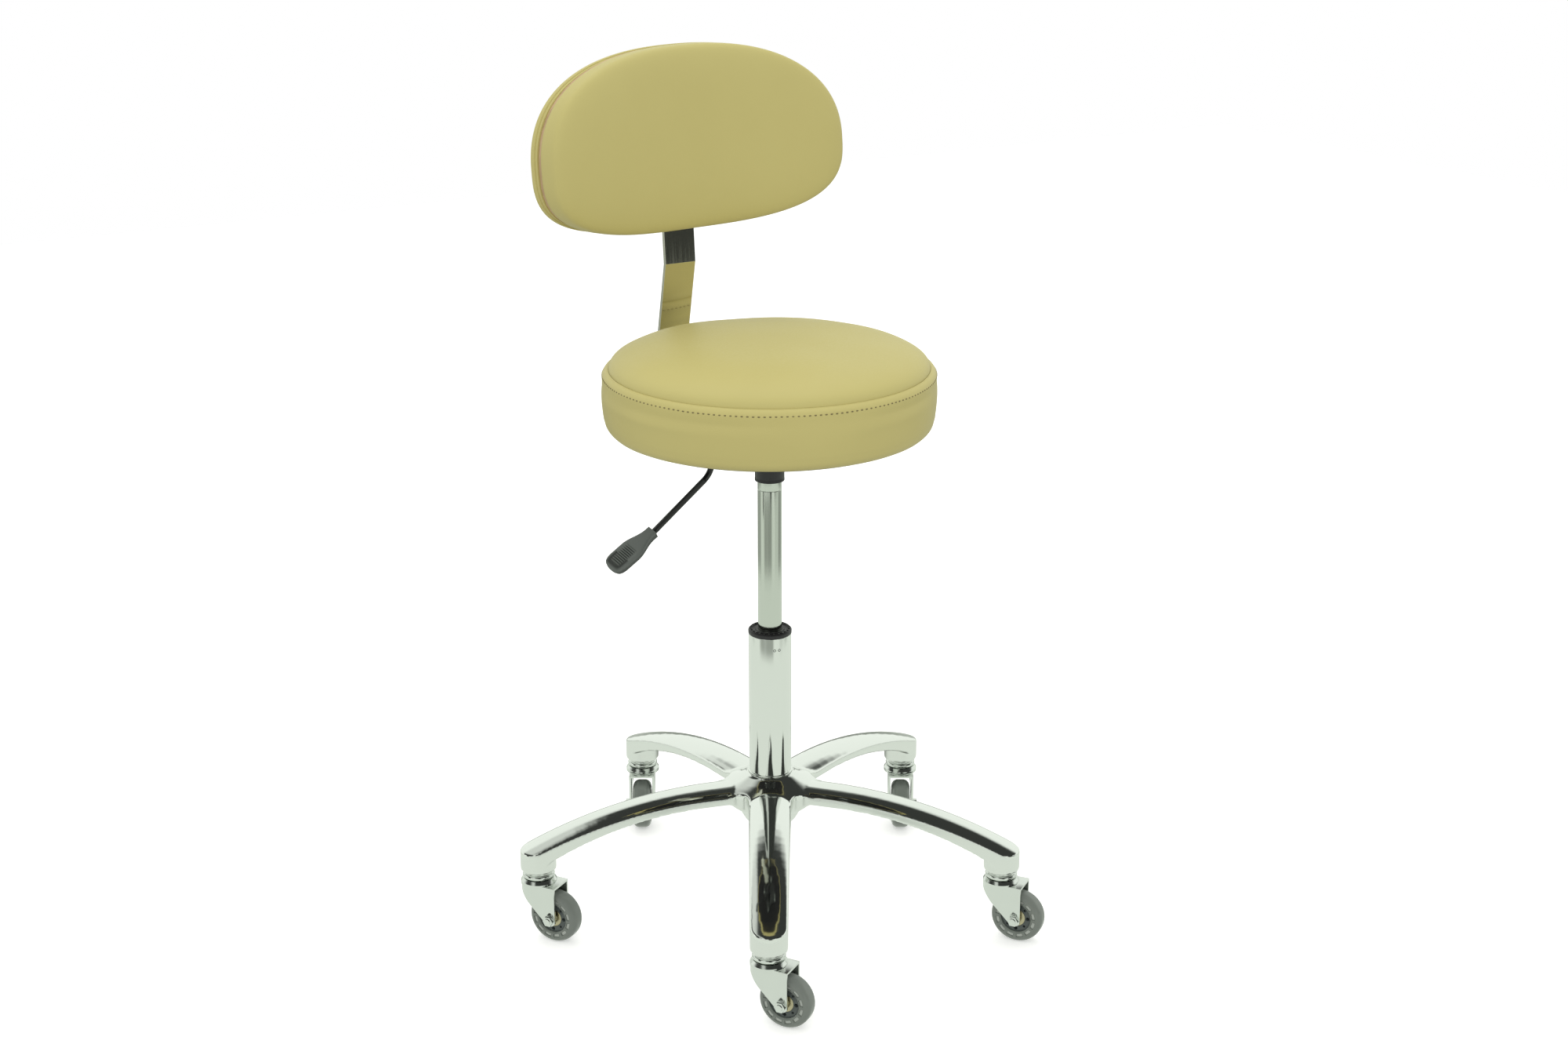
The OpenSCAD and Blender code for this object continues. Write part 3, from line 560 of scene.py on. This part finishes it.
# %% Guide bush: flange with a ring of slots in its top
BUSH_BORE, BUSH_FOOT = 14.08, 280
bush_section = [(BUSH_BORE, BUSH_FOOT), (22.9, BUSH_FOOT), (22.9, TUBE_TOP), (25.4, TUBE_TOP + 0.2),
                (25.5, TUBE_TOP + 4.2), (23.6, TUBE_TOP + 6), (21.2, TUBE_TOP + 6), (20.9, TUBE_TOP + 4.6),
                (17.4, TUBE_TOP + 4.6), (17.0, TUBE_TOP + 5.4), (BUSH_BORE, TUBE_TOP + 5.2),
                (BUSH_BORE, BUSH_FOOT)]
bush = turned("guide_bush_flange", rounded(bush_section, 0.35), 144)
only(bush)
bpy.ops.object.mode_set(mode="EDIT")
shell = bmesh.from_edit_mesh(bush.data)
shell.faces.ensure_lookup_table()
for face in shell.faces:
    centre = face.calc_center_median() / MM
    r, turn = math.hypot(centre.x, centre.y), math.degrees(math.atan2(centre.y, centre.x)) % 15
    face.select_set(21.3 < r < 23.6 and centre.z > TUBE_TOP + 5.6 and face.normal.z > 0.9 and turn < 9)
bmesh.update_edit_mesh(bush.data)
bpy.ops.mesh.extrude_region_move(TRANSFORM_OT_translate={"value": (0, 0, -1.6 * MM)})
bpy.ops.object.mode_set(mode="OBJECT")
smooth(bush, 30)
take_place(bush, black_plastic.material, "base", "black_plastic", "guide_bush")

# %% Sliding cylinder with its thin turned groove
CYL_FOOT, CYL_TOP, CYL_R = 262, 577, 14
cylinder_section = [(12.5, CYL_FOOT), (CYL_R, CYL_FOOT), (CYL_R, 524), (13.75, 524.2), (13.75, 524.8),
                    (CYL_R, 525), (CYL_R, CYL_TOP), (3.1, CYL_TOP)]
cylinder = turned("gas_cylinder_skin", rounded(cylinder_section, 0.2, 2), 128)
take_place(cylinder, ground.material, "seat", "chrome", "gas_cylinder")
print("lift pieces", [o.name for o in (tube, bush, cylinder)])

# %% Socket under the seat, a little flared at its mouth
socket_section = [(14.05, 535), (17.2, 535), (17.1, 538), (16.6, 541), (16.8, 568), (14.05, 568)]
socket = turned("mechanism_socket", rounded(socket_section, 0.5), 128)
take_place(socket, black_plastic.material, "seat", "black_plastic")
housing = refined("valve_socket", "mechanism_housing", 0.8)
take_place(housing, black_plastic.material, "seat", "black_plastic", "valve_socket")
print("mechanism", [socket.name, housing.name])

# %% [markdown]
# ## Seat
# The cushion is a domed top panel sewn to a boxing, then topstitched below the seam. A cloth
# simulation could inflate it. Here the cover sits tight on its foam, so the cushion is turned
# from its section, which has the folded groove of the seam, and then its skin is moved a
# little where the real cover has soft wrinkles under the stitching.

# %% Seat cushion
SEAT_FOOT, SEAM_LIP_Z, DOME_R, DOME = 598.0, 668.9, 181.6, 29.0
section = [(140, SEAT_FOOT - 0.4), (164, SEAT_FOOT - 0.6), (172, SEAT_FOOT + 0.2)]
for i in range(13):
    a = math.radians(-90 + 84 * i / 12)
    section.append((173.5 + 13.5 * math.cos(a), SEAT_FOOT + 14 + 13.8 * math.sin(a)))
for i in range(1, 22):
    t = i / 22
    section.append((187 + 2.8 * math.sin(math.pi * (0.08 + 0.72 * t)), SEAT_FOOT + 14 + 47 * t))
for i in range(0, 9):
    a = math.radians(8 + 73 * i / 8)
    section.append((180.6 + 8.6 * math.cos(a), 660 + 9.3 * math.sin(a)))
section += [(181.7, SEAM_LIP_Z), (181.55, 667.6), (181.4, 668.3)]
for i in range(1, 44):
    a = math.radians(90 * (i / 44) ** 1.25)
    section.append((DOME_R * math.cos(a) ** 0.5, SEAM_LIP_Z + DOME * math.sin(a)))
section.append((0, SEAM_LIP_Z + DOME))
cushion = turned("seat_cushion", section, 288)


def soft_dent(turn, height, at, width, z, tall, depth):
    """Depth of one long shallow wrinkle, by bearing in degrees and height in millimetres."""
    off = (turn - at + 180) % 360 - 180
    return depth * math.exp(-(off / width) ** 2 - ((height - z) / tall) ** 2)


WRINKLES = [(212, 26, 651, 4.5, 1.5), (196, 22, 640, 5.0, -1.0), (292, 20, 652, 4.0, 1.2),
            (285, 16, 641, 5.0, -0.7), (30, 24, 650, 4.5, 1.2), (120, 28, 651, 4.5, 1.3),
            (75, 18, 646, 5.0, -0.7)]
for vertex in cushion.data.vertices:
    x, y, z = vertex.co / MM
    r = math.hypot(x, y)
    if r < 1:
        continue
    turn = math.degrees(math.atan2(y, x))
    if z < 664 and r > 178:
        push = -sum(soft_dent(turn, z, *wrinkle) for wrinkle in WRINKLES)
        push += 0.5 * noise.noise(Vector((x, y, z * 1.6)) * 0.021)
        vertex.co += Vector((x, y, 0)).normalized() * push * MM
    if z > 669.5:
        swell = 0.9 * noise.noise(Vector((x, y, 0)) * 0.014 + Vector((5, 3, 1)))
        vertex.co.z += swell * min(1, (184 - r) / 20) * MM
cushion.data.update()
take_place(cushion, vinyl.material, "seat", "vinyl", "seat_cover", "seat_foam")
smooth(cushion, 50)
print("seat cushion faces", len(cushion.data.polygons))

# %% Topstitching: one short thread modelled, then copied round the seat
STITCHES, STITCH_R, STITCH_Z = 196, 188.88, 662.4
bpy.ops.object.select_all(action="DESELECT")
bpy.ops.mesh.primitive_uv_sphere_add(segments=8, ring_count=6, radius=1)
stitch = bpy.context.object
stitch.data.transform(Matrix.Diagonal((0.55 * MM, 1.5 * MM, 0.8 * MM, 1)))
rings = bmesh.new()
for n in range(STITCHES):
    copy = stitch.data.copy()
    a = 2 * math.pi * n / STITCHES
    wave = noise.noise(Vector((math.cos(a), math.sin(a), 0)) * 5) * 0.3
    copy.transform(Matrix.Rotation(a, 4, "Z")
                   @ Matrix.Translation((STITCH_R * MM, 0, (STITCH_Z + wave) * MM)))
    rings.from_mesh(copy)
    bpy.data.meshes.remove(copy)
bpy.data.objects.remove(stitch)
stitches = mesh_piece("seat_topstitching", [])
rings.to_mesh(stitches.data)
rings.free()
smooth(stitches, 60)
take_place(stitches, thread.material, "seat", "vinyl")
print("stitches", STITCHES)

# %% Dust cover
DUST_R, DUST_Z = 174, 597.2
dust_section = [(0, DUST_Z), (DUST_R - 0.5, DUST_Z), (DUST_R, DUST_Z + 0.6), (DUST_R, DUST_Z + 1.4)]
dust = turned("dust_cover_cloth", rounded(dust_section, 0.5), 96)
take_place(dust, dust_cloth.material, "seat", "dust_cloth", "dust_cover")
print("dust cover", tuple(dust.dimensions))

# %% [markdown]
# ## Backrest
# The pad is a thick cushion in front of a thin padded panel, both bent round the sitter's
# back. A ball is pressed into each shape by moving its points: the outline is wide and
# round above and squarer below, and the depth follows a softly rounded edge.

# %% Shape of the pad
PAD = dict(half=195.5, up=124.0, down=88.0, bend=600.0, y=194.0, z=883.0, lean=4.3, roll=1.6)


def pad_point(azimuth, polar, front, back, inset, crispness, crown):
    """A point of a layer between two depths; polar runs 0 (front middle) to 180 (back middle)."""
    across, upward = math.cos(azimuth), math.sin(azimuth)
    n = 2.3 if upward >= 0 else 2.9
    reach = (abs(across) ** n + abs(upward) ** n) ** (-1 / n)
    side = math.sin(polar) ** crispness
    depth = math.copysign(abs(math.cos(polar)) ** crispness, math.cos(polar))
    middle, half_t = (front + back) / 2, (back - front) / 2
    a = (PAD["half"] - inset) * reach * across * side
    h = ((PAD["up"] if upward >= 0 else PAD["down"]) - inset) * reach * upward * side
    d = middle - half_t * depth
    if depth > 0:
        d -= crown * (1 - side ** 3)
    roll = math.radians(PAD["roll"])
    a, h = a * math.cos(roll) - h * math.sin(roll), a * math.sin(roll) + h * math.cos(roll)
    bent = a / PAD["bend"]
    x = (PAD["bend"] + d) * math.sin(bent)
    y = (PAD["bend"] + d) * math.cos(bent) - PAD["bend"]
    lean = math.radians(PAD["lean"])
    return Vector((x, PAD["y"] + y * math.cos(lean) + h * math.sin(lean),
                   PAD["z"] + h * math.cos(lean) - y * math.sin(lean))) * MM


def pad_layer(name, front, back, inset, crispness, crown=0.0):
    bpy.ops.object.select_all(action="DESELECT")
    bpy.ops.mesh.primitive_uv_sphere_add(segments=224, ring_count=96, radius=1)
    piece = bpy.context.object
    piece.name = name
    for vertex in piece.data.vertices:
        x, y, z = vertex.co
        polar = math.acos(max(-1, min(1, z)))
        vertex.co = pad_point(math.atan2(y, x), polar, front, back, inset, crispness, crown)
    tidy_shell(piece)
    smooth(piece, 60)
    return piece


# %% Front cushion and rear panel
back_cushion = pad_layer("backrest_cushion", -19.6, 21.9, 0.0, 0.38, crown=3.5)
for vertex in back_cushion.data.vertices:
    vertex.co.y += 0.8 * noise.noise(vertex.co * 11) * MM
take_place(back_cushion, vinyl.material, "seat", "vinyl", "backrest_cover", "backrest_foam")
# the fold of vinyl at the bottom of the seam between the two
seam_fold = pad_layer("backrest_seam_fold", 19.0, 25.0, 1.9, 0.1)
take_place(seam_fold, vinyl.material, "seat", "vinyl")
rear_panel = pad_layer("backrest_rear_pad", 21.7, 29.9, 0.4, 0.22)
take_place(rear_panel, vinyl.material, "seat", "vinyl", "backrest_rear_panel")

# %% [markdown]
# ## Steel bar, lever and grip
# The bar and the lever's rod are already the right shape, so they are refined copies.

# %% Bar
bar = refined("backrest_bar", "back_bar", 0.7, 3, 12)
take_place(bar, bar_steel.material, "seat", "bar_steel", "backrest_bar")
print("bar faces", len(bar.data.polygons))

# %% Lever rod
rod = refined("lever_rod", "lever_bent_rod", 0)
take_place(rod, black_paint.material, "lever", "black_metal", "lever_rod")
print("rod faces", len(rod.data.polygons))

# %% [markdown]
# The grip is a paddle: a square-cut socket that widens to a round thumb pad. It is lofted
# as rings of points along its length, then the thumb hollow, its ribs and the parting
# line round the side are pressed in.

# %% Grip
GRIP_LENGTH, GRIP_AT, GRIP_DROP, GRIP_ROLL = 65.0, (-150.0, 0.0, 497.0), 33.0, 18.0
TIP_R, HOLLOW_AT, RIB_PITCH, SQUARENESS = 15.4, 45.0, 2.6, 0.34
RING, RINGS = 96, 260
points, faces, painted_shade_values = [], [], []
for j in range(RINGS + 1):
    t = j / RINGS
    s = GRIP_LENGTH * t
    swell = 0.5 - 0.5 * math.cos(math.pi * min(max((s - 5) / 30, 0), 1))
    half_w = 7.4 + (TIP_R - 7.4) * swell
    round_start = GRIP_LENGTH - TIP_R
    if s > round_start:
        half_w = TIP_R * max(1 - ((s - round_start) / TIP_R) ** 2.6, 0.0004) ** (1 / 2.6)
    half_t = 5.2 - 0.4 * swell
    tip = min(1, math.sqrt(max((GRIP_LENGTH - s) / 4, 0.0004)))
    for i in range(RING):
        a = 2 * math.pi * i / RING
        across = half_w * math.copysign(abs(math.cos(a)) ** SQUARENESS, math.cos(a))
        rise = half_t * tip * math.copysign(abs(math.sin(a)) ** SQUARENESS, math.sin(a))
        shade = 0.0
        if math.sin(a) > 0:
            inside = math.exp(-((across / 10.4) ** 6) - ((s - HOLLOW_AT) / 15.0) ** 6)
            ribbed = math.exp(-((across / 8.8) ** 8) - ((s - HOLLOW_AT + 1) / 13.5) ** 8)
            crest = 0.5 + 0.5 * math.cos(2 * math.pi * (s - HOLLOW_AT) / RIB_PITCH)
            rise -= 1.1 * inside - 1.2 * ribbed * crest ** 0.7
            shade = max(ribbed * (1 - crest) ** 2, 3.2 * inside * (1 - inside) * (s > HOLLOW_AT))
        # parting line along the side, and the flange that stands proud of it on the ribbed half
        seam = math.exp(-((rise - 1.6) / 0.45) ** 2) if abs(math.cos(a)) > 0.5 else 0
        across -= math.copysign(0.6 * seam + (0.9 if rise < 1.2 else 0), across)
        points.append((-s, across, rise))
        # painted shade: the grooves, the hollow's rim, the parting line and the lower half are marked darker
        painted_shade_values.append(min(1.0, max(shade, seam, 0.45 * (rise < 1.2))))
for j in range(RINGS):
    for i in range(RING):
        k = (i + 1) % RING
        faces.append((j * RING + i, j * RING + k, (j + 1) * RING + k, (j + 1) * RING + i))
faces.append(tuple(range(RING)))
faces.append(tuple(range(RINGS * RING, (RINGS + 1) * RING)))
grip = mesh_piece("lever_paddle", [Vector(p) * MM for p in points], (), faces)
painted_shade = grip.data.attributes.new("painted_shade", "FLOAT", "POINT")
for item, value in zip(painted_shade.data, painted_shade_values):
    item.value = value
grip.data.transform(Matrix.Translation(Vector(GRIP_AT) * MM)
                    @ Matrix.Rotation(math.radians(-GRIP_DROP), 4, "Y")
                    @ Matrix.Rotation(math.radians(GRIP_ROLL), 4, "X"))
tidy_shell(grip, 0.001 * MM)
smooth(grip, 40)
take_place(grip, grip_plastic.material, "lever", "grip_plastic", "lever_grip")
print("grip faces", len(grip.data.polygons))

# %% [markdown]
# ## Castors
# All five castors are the same, so each piece is made once with its swivel axis on Z and
# its axle towards +X, then copied to the end of each arm and turned to its trail.

# %% Place of each castor
TRAIL, WHEEL_R = 22.5, 31.0


def castor_place(n):
    swivel = Vector(joints[f"castor_{n}_swivel"]["pos_m"])
    axle = Vector(joints[f"castor_{n}_spin"]["pos_m"])
    turn = math.atan2(axle.y - swivel.y, axle.x - swivel.x)
    return Matrix.Translation((swivel.x, swivel.y, 0)) @ Matrix.Rotation(turn, 4, "Z")


def to_every_castor(model, part, finish, slot, group, *solids):
    """Copies a piece to the five castors, each copy with its own mesh, and removes the model."""
    for n in range(1, 6):
        copy = bpy.data.objects.new(f"castor_{n}_{part}", model.data.copy())
        bpy.context.scene.collection.objects.link(copy)
        copy.data.transform(castor_place(n))
        body = group if group == "base" else f"castor_{n}_{group}"
        take_place(copy, finish.material, body, slot, *[f"castor_{n}_{solid}" for solid in solids])
    bpy.data.objects.remove(model)


def to_axle(piece):
    """Turns a piece spun about Z so that its axis is the axle."""
    piece.data.transform(Matrix.Translation((TRAIL * MM, 0, WHEEL_R * MM))
                         @ Matrix.Rotation(math.radians(90), 4, "X"))


# %% Stem with its bright flange
stem_section = [(0, 66.3), (9, 66.3), (9, 69.4), (6, 69.6), (6, 77.6), (17.4, 77.6), (18.6, 79.2),
                (18.9, 81), (18.2, 82.8), (16.6, 83.8), (16.4, 84.8), (17.2, 86.8), (5.4, 86.9),
                (5.4, 106), (0, 106)]
stem = turned("stem", rounded(stem_section, 0.5), 96)
to_every_castor(stem, "swivel_stem", zinc, "zinc", "base", "stem")

# %% Fork: a refined copy of the first one, moved back to the shared place
fork = refined("castor_1_fork", "fork", 0.5, 3)
fork.data.transform(castor_place(1).inverted())
to_every_castor(fork, "pressed_fork", zinc, "zinc", "swivelling", "fork")

# %% Axle bolt and nuts
axle = refined("castor_1_axle", "axle", 0.5, 2)
axle.data.transform(castor_place(1).inverted())
to_every_castor(axle, "axle_bolt", zinc, "zinc", "swivelling", "axle")

# %% Wheel hub with its ring of windows
hub = refined("castor_1_wheel_hub", "hub", 0.35, 2)
hub.data.transform(castor_place(1).inverted())
to_every_castor(hub, "wheel_core", hub_plastic, "hub_plastic", "rolling", "wheel_hub")

# %% Web inside the hub, drawn in black moulding as painted shade seen through its windows
WEB_IN, WEB_OUT, WEB_HALF = 11.1, 17.9, 0.6
web_section = [(WEB_IN, -WEB_HALF), (WEB_OUT, -WEB_HALF), (WEB_OUT, WEB_HALF), (WEB_IN, WEB_HALF),
               (WEB_IN, -WEB_HALF)]
web = turned("web", web_section, 64)
to_axle(web)
# painted shade: the web belongs to the grey hub but takes the black moulding
to_every_castor(web, "wheel_shade_web", black_plastic, "hub_plastic", "rolling")

# %% Bearing shields
shields = refined("castor_1_bearings", "shields", 0.4, 2)
shields.data.transform(castor_place(1).inverted())
to_every_castor(shields, "bearing_shields", bearing_metal, "bearing_metal", "rolling", "bearings")

# %% Tyre with a ring of moulded pockets in each side
POCKETS, STEPS = 12, 96
side = [(18.0, -9.5), (19.2, -11.0), (19.8, -11.2), (24.4, -11.3), (26.0, -10.9)]
SHOULDER = 8
side += [(23 + SHOULDER * math.cos(math.radians(a)), -3.5 + SHOULDER * math.sin(math.radians(a)))
         for a in range(-60, 1, 12)]
tyre_section = side + [(r, -z) for r, z in reversed(side)] + [side[0]]
tyre = turned("tyre", tyre_section, STEPS)
only(tyre)
bpy.ops.object.mode_set(mode="EDIT")
shell = bmesh.from_edit_mesh(tyre.data)
for face in shell.faces:
    centre = face.calc_center_median() / MM
    r = math.hypot(centre.x, centre.y)
    turn = math.atan2(centre.y, centre.x) / (2 * math.pi) * POCKETS % 1
    face.select_set(21 < r < 23.5 and abs(centre.z) > 11 and 0.16 < turn < 0.84)
bmesh.update_edit_mesh(tyre.data)
bpy.ops.mesh.inset(thickness=0.3 * MM, depth=0)
bpy.ops.mesh.inset(thickness=0.3 * MM, depth=-1.6 * MM)
bpy.ops.object.mode_set(mode="OBJECT")
pocket = tyre.data.attributes.new("pocket", "FLOAT", "FACE")
for face in tyre.data.polygons:
    pocket.data[face.index].value = 1.0 if face.select else 0.0
smooth(tyre, 40)
to_axle(tyre)
to_every_castor(tyre, "clear_tyre", tyre_finish, "tyre", "rolling", "tyre")

# %% [markdown]
# ## Solids that stay
# The pieces that are seldom seen keep their solids and only get their finishes.

# %% Finishes of the remaining solids
KEPT = {"tube_floor": black_paint, "thrust_bearing": ground, "bump_stop": rubber,
        "piston_rod": ground, "piston": black_plastic, "rod_clip": black_paint,
        "cylinder_end": black_plastic, "release_pin": ground, "seat_plate": black_paint,
        "plate_screws": zinc, "lever_pivot_pin": ground, "seat_board": plywood,
        "bar_screws": zinc, "backrest_board": plywood, "backrest_bolts": zinc}
for name, finish in KEPT.items():
    nodes[name].data.materials.clear()
    nodes[name].data.materials.append(finish.material)
print("kept solids", len(KEPT))
